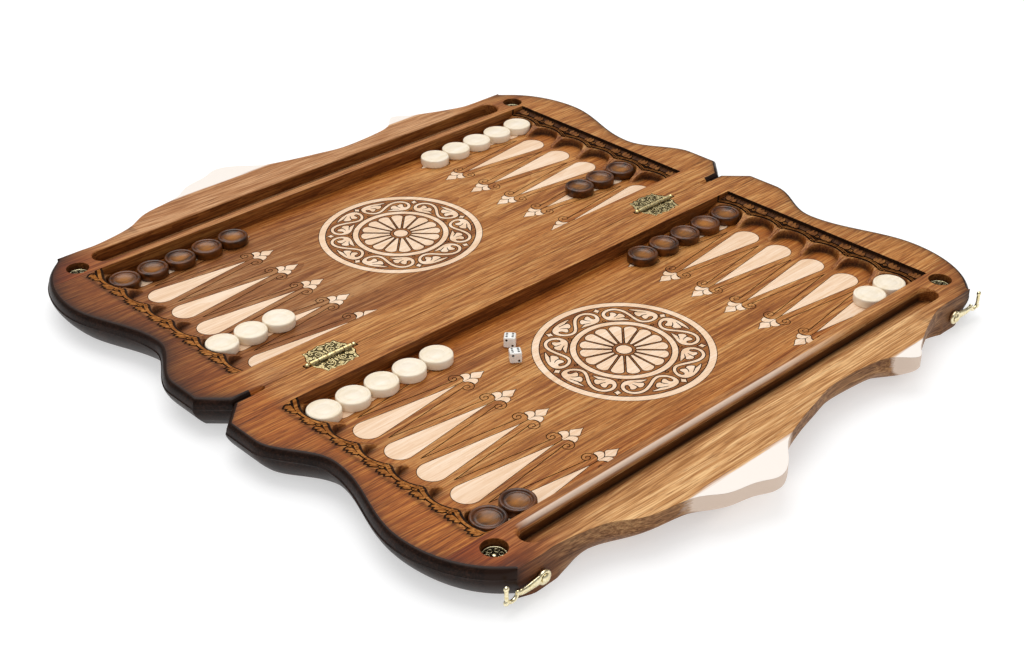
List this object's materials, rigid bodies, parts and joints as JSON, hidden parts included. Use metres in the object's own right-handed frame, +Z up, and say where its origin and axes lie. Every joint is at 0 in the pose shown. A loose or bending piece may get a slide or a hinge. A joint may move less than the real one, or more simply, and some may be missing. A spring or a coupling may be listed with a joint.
{
  "type": "backgammon board",
  "caption": "Folding carved backgammon board in stained wood with pale inlaid points and rosettes, brass hinges and swing hooks, set with checkers and dice.",
  "frame": {"origin": "middle of the open board's underside, on the table below the hinge line", "axes": "+X from the left half to the right half that carries the hooks, +Y along the hinge line from the near end to the far end, +Z up from the table"},
  "size_m": [0.7, 0.6196, 0.0324],
  "materials": {
    "stained_wood": "satin lacquer over stain",
    "golden_wood": "satin lacquer",
    "pale_wood": "satin lacquer",
    "ivory_wood": "turned and polished",
    "dark_wood": "turned, gloss lacquer",
    "antique_brass": "antiqued",
    "white_plastic": "glossy, black pips"
  },
  "bodies": {
    "right_half": {"right_hinge_stave": "stained_wood", "right_field_stave_inner": "stained_wood", "right_field_stave_middle": "stained_wood", "right_field_stave_outer": "stained_wood", "right_live_edge_stave": "golden_wood", "right_point_inlays": "pale_wood", "right_rosette": "pale_wood", "right_medallions": "antique_brass", "right_hinge_leaves": "antique_brass", "right_hinge_screws": "antique_brass", "hinge_pins": "antique_brass", "hook_screws": "antique_brass"},
    "left_half": {"left_hinge_stave": "stained_wood", "left_field_stave_inner": "stained_wood", "left_field_stave_middle": "stained_wood", "left_field_stave_outer": "stained_wood", "left_live_edge_stave": "golden_wood", "left_point_inlays": "pale_wood", "left_rosette": "pale_wood", "left_medallions": "antique_brass", "left_hinge_leaves": "antique_brass", "left_hinge_screws": "antique_brass", "keeper_studs": "antique_brass"},
    "near_hook": {"near_hook": "antique_brass"},
    "far_hook": {"far_hook": "antique_brass"},
    "white_checker_01": {"white_checker_01": "ivory_wood"},
    "white_checker_02": {"white_checker_02": "ivory_wood"},
    "white_checker_03": {"white_checker_03": "ivory_wood"},
    "white_checker_04": {"white_checker_04": "ivory_wood"},
    "white_checker_05": {"white_checker_05": "ivory_wood"},
    "white_checker_06": {"white_checker_06": "ivory_wood"},
    "white_checker_07": {"white_checker_07": "ivory_wood"},
    "white_checker_08": {"white_checker_08": "ivory_wood"},
    "white_checker_09": {"white_checker_09": "ivory_wood"},
    "white_checker_10": {"white_checker_10": "ivory_wood"},
    "white_checker_11": {"white_checker_11": "ivory_wood"},
    "white_checker_12": {"white_checker_12": "ivory_wood"},
    "white_checker_13": {"white_checker_13": "ivory_wood"},
    "white_checker_14": {"white_checker_14": "ivory_wood"},
    "white_checker_15": {"white_checker_15": "ivory_wood"},
    "dark_checker_01": {"dark_checker_01": "dark_wood"},
    "dark_checker_02": {"dark_checker_02": "dark_wood"},
    "dark_checker_03": {"dark_checker_03": "dark_wood"},
    "dark_checker_04": {"dark_checker_04": "dark_wood"},
    "dark_checker_05": {"dark_checker_05": "dark_wood"},
    "dark_checker_06": {"dark_checker_06": "dark_wood"},
    "dark_checker_07": {"dark_checker_07": "dark_wood"},
    "dark_checker_08": {"dark_checker_08": "dark_wood"},
    "dark_checker_09": {"dark_checker_09": "dark_wood"},
    "dark_checker_10": {"dark_checker_10": "dark_wood"},
    "dark_checker_11": {"dark_checker_11": "dark_wood"},
    "dark_checker_12": {"dark_checker_12": "dark_wood"},
    "dark_checker_13": {"dark_checker_13": "dark_wood"},
    "dark_checker_14": {"dark_checker_14": "dark_wood"},
    "dark_checker_15": {"dark_checker_15": "dark_wood"},
    "die_one": {"die_one": "white_plastic"},
    "die_two": {"die_two": "white_plastic"}
  },
  "joints": [
    {"name": "board_fold", "type": "hinge", "parent": "right_half", "child": "left_half", "pos_m": [0, 0, 0.03015], "axis": [0, -1, 0], "range_deg": [-180, 0]},
    {"name": "board_hook_far", "type": "hinge", "parent": "right_half", "child": "far_hook", "pos_m": [0.2945, 0.245, 0.012], "axis": [-1, 0, 0], "range_deg": [-90, 0]},
    {"name": "board_hook_near", "type": "hinge", "parent": "right_half", "child": "near_hook", "pos_m": [0.2945, -0.245, 0.012], "axis": [1, 0, 0], "range_deg": [-90, 0]},
    {"name": "lift_white_checker_01", "type": "slide", "parent": "left_half", "child": "white_checker_01", "axis": [0, 0, 1], "range_m": [0, 0.03]},
    {"name": "lift_white_checker_02", "type": "slide", "parent": "left_half", "child": "white_checker_02", "axis": [0, 0, 1], "range_m": [0, 0.03]},
    {"name": "lift_white_checker_03", "type": "slide", "parent": "left_half", "child": "white_checker_03", "axis": [0, 0, 1], "range_m": [0, 0.03]},
    {"name": "lift_white_checker_04", "type": "slide", "parent": "left_half", "child": "white_checker_04", "axis": [0, 0, 1], "range_m": [0, 0.03]},
    {"name": "lift_white_checker_05", "type": "slide", "parent": "left_half", "child": "white_checker_05", "axis": [0, 0, 1], "range_m": [0, 0.03]},
    {"name": "lift_white_checker_06", "type": "slide", "parent": "left_half", "child": "white_checker_06", "axis": [0, 0, 1], "range_m": [0, 0.03]},
    {"name": "lift_white_checker_07", "type": "slide", "parent": "left_half", "child": "white_checker_07", "axis": [0, 0, 1], "range_m": [0, 0.03]},
    {"name": "lift_white_checker_08", "type": "slide", "parent": "left_half", "child": "white_checker_08", "axis": [0, 0, 1], "range_m": [0, 0.03]},
    {"name": "lift_white_checker_09", "type": "slide", "parent": "right_half", "child": "white_checker_09", "axis": [0, 0, 1], "range_m": [0, 0.03]},
    {"name": "lift_white_checker_10", "type": "slide", "parent": "right_half", "child": "white_checker_10", "axis": [0, 0, 1], "range_m": [0, 0.03]},
    {"name": "lift_white_checker_11", "type": "slide", "parent": "right_half", "child": "white_checker_11", "axis": [0, 0, 1], "range_m": [0, 0.03]},
    {"name": "lift_white_checker_12", "type": "slide", "parent": "right_half", "child": "white_checker_12", "axis": [0, 0, 1], "range_m": [0, 0.03]},
    {"name": "lift_white_checker_13", "type": "slide", "parent": "right_half", "child": "white_checker_13", "axis": [0, 0, 1], "range_m": [0, 0.03]},
    {"name": "lift_white_checker_14", "type": "slide", "parent": "right_half", "child": "white_checker_14", "axis": [0, 0, 1], "range_m": [0, 0.03]},
    {"name": "lift_white_checker_15", "type": "slide", "parent": "right_half", "child": "white_checker_15", "axis": [0, 0, 1], "range_m": [0, 0.03]},
    {"name": "lift_dark_checker_01", "type": "slide", "parent": "left_half", "child": "dark_checker_01", "axis": [0, 0, 1], "range_m": [0, 0.03]},
    {"name": "lift_dark_checker_02", "type": "slide", "parent": "left_half", "child": "dark_checker_02", "axis": [0, 0, 1], "range_m": [0, 0.03]},
    {"name": "lift_dark_checker_03", "type": "slide", "parent": "left_half", "child": "dark_checker_03", "axis": [0, 0, 1], "range_m": [0, 0.03]},
    {"name": "lift_dark_checker_04", "type": "slide", "parent": "left_half", "child": "dark_checker_04", "axis": [0, 0, 1], "range_m": [0, 0.03]},
    {"name": "lift_dark_checker_05", "type": "slide", "parent": "left_half", "child": "dark_checker_05", "axis": [0, 0, 1], "range_m": [0, 0.03]},
    {"name": "lift_dark_checker_06", "type": "slide", "parent": "left_half", "child": "dark_checker_06", "axis": [0, 0, 1], "range_m": [0, 0.03]},
    {"name": "lift_dark_checker_07", "type": "slide", "parent": "left_half", "child": "dark_checker_07", "axis": [0, 0, 1], "range_m": [0, 0.03]},
    {"name": "lift_dark_checker_08", "type": "slide", "parent": "left_half", "child": "dark_checker_08", "axis": [0, 0, 1], "range_m": [0, 0.03]},
    {"name": "lift_dark_checker_09", "type": "slide", "parent": "right_half", "child": "dark_checker_09", "axis": [0, 0, 1], "range_m": [0, 0.03]},
    {"name": "lift_dark_checker_10", "type": "slide", "parent": "right_half", "child": "dark_checker_10", "axis": [0, 0, 1], "range_m": [0, 0.03]},
    {"name": "lift_dark_checker_11", "type": "slide", "parent": "right_half", "child": "dark_checker_11", "axis": [0, 0, 1], "range_m": [0, 0.03]},
    {"name": "lift_dark_checker_12", "type": "slide", "parent": "right_half", "child": "dark_checker_12", "axis": [0, 0, 1], "range_m": [0, 0.03]},
    {"name": "lift_dark_checker_13", "type": "slide", "parent": "right_half", "child": "dark_checker_13", "axis": [0, 0, 1], "range_m": [0, 0.03]},
    {"name": "lift_dark_checker_14", "type": "slide", "parent": "right_half", "child": "dark_checker_14", "axis": [0, 0, 1], "range_m": [0, 0.03]},
    {"name": "lift_dark_checker_15", "type": "slide", "parent": "right_half", "child": "dark_checker_15", "axis": [0, 0, 1], "range_m": [0, 0.03]},
    {"name": "lift_die_one", "type": "slide", "parent": "right_half", "child": "die_one", "axis": [0, 0, 1], "range_m": [0, 0.03]},
    {"name": "lift_die_two", "type": "slide", "parent": "right_half", "child": "die_two", "axis": [0, 0, 1], "range_m": [0, 0.03]}
  ]
}
